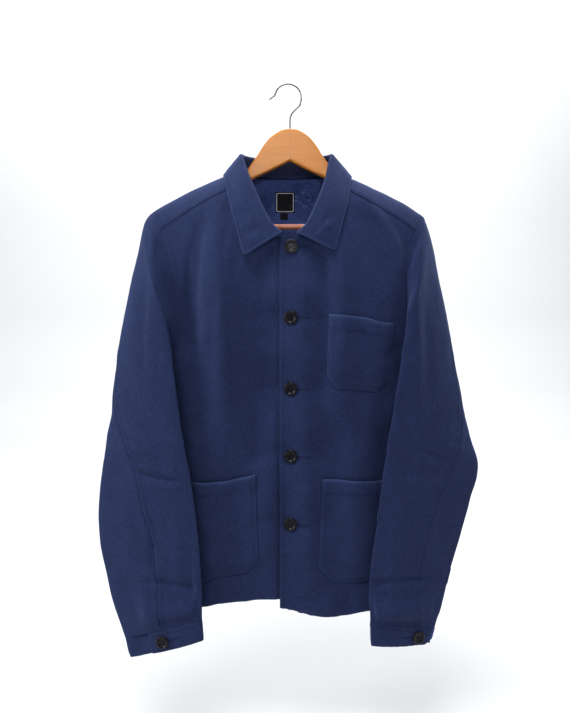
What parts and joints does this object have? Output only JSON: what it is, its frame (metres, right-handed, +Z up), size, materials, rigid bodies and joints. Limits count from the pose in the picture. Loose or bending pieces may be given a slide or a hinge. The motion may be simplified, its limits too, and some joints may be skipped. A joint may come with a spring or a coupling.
{
  "type": "chore jacket on wooden hanger",
  "caption": "Button-front chore jacket in navy cotton twill with a shirt collar, patch pockets and buttoned cuffs, hanging on a varnished wooden hanger with a wire hook.",
  "frame": {"origin": "inside top of the wire hook, where a rail or nail holds it", "axes": "+Z up along the hanging garment, the front faces -Y, the wearer's left side is at +X"},
  "size_m": [0.5811, 0.1159, 0.8806],
  "materials": {
    "navy_twill": "matte navy cotton twill",
    "woven_label": "plain black woven tape",
    "dark_button": "near-black with a soft sheen",
    "amber_wood": "clear amber varnish",
    "salmon_bar": "varnished, salmon-coloured",
    "hook_steel": "bright plated wire"
  },
  "bodies": {
    "root": {"back": "navy_twill", "front_right": "navy_twill", "front_left": "navy_twill", "collar": "navy_twill", "sleeve_upper_right": "navy_twill", "sleeve_under_right": "navy_twill", "cuff_right": "navy_twill", "sleeve_upper_left": "navy_twill", "sleeve_under_left": "navy_twill", "cuff_left": "navy_twill", "pocket_chest": "navy_twill", "pocket_lower_right": "navy_twill", "pocket_lower_left": "navy_twill", "label": "woven_label", "size_tab": "woven_label", "button_front_1": "dark_button", "button_front_2": "dark_button", "button_front_3": "dark_button", "button_front_4": "dark_button", "button_front_5": "dark_button", "button_cuff_right": "dark_button", "button_cuff_left": "dark_button", "hanger_arm_right": "amber_wood", "hanger_arm_left": "amber_wood", "trouser_bar": "salmon_bar", "hook": "hook_steel"}
  },
  "joints": []
}
